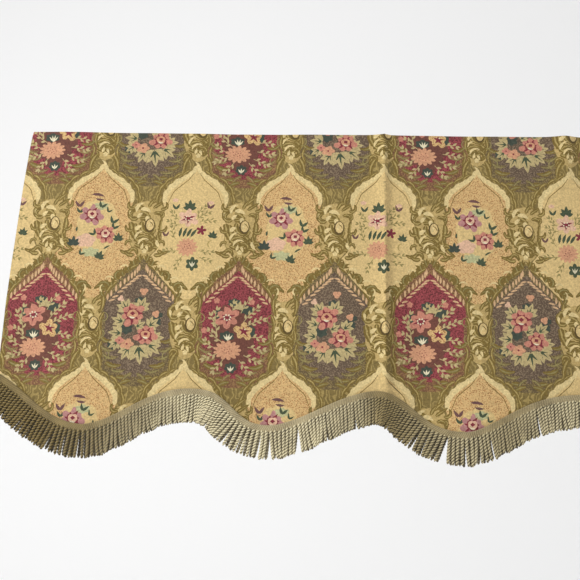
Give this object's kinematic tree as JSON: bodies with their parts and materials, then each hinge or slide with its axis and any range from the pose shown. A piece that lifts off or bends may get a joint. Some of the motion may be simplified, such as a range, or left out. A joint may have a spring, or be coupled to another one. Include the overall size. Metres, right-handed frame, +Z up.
{
  "type": "fringed valance",
  "caption": "Wide tapestry valance with a scalloped hem and a twisted bullion fringe, hung by its top edge.",
  "frame": {"origin": "middle of the top edge, where the valance is fixed to a rail or board", "axes": "+X along the top edge, to the right as seen from the front; -Y towards the viewer; +Z up"},
  "size_m": [1.3422, 0.0193, 0.5798],
  "materials": {
    "tapestry": "woven jacquard tapestry, yellow ground with crimson and grey-brown medallions of flowers, matt",
    "fringe_cord": "khaki two-ply twisted cord under a woven header, soft sheen"
  },
  "bodies": {
    "root": {"tapestry_panel": "tapestry", "bullion_fringe": "fringe_cord"}
  },
  "joints": []
}
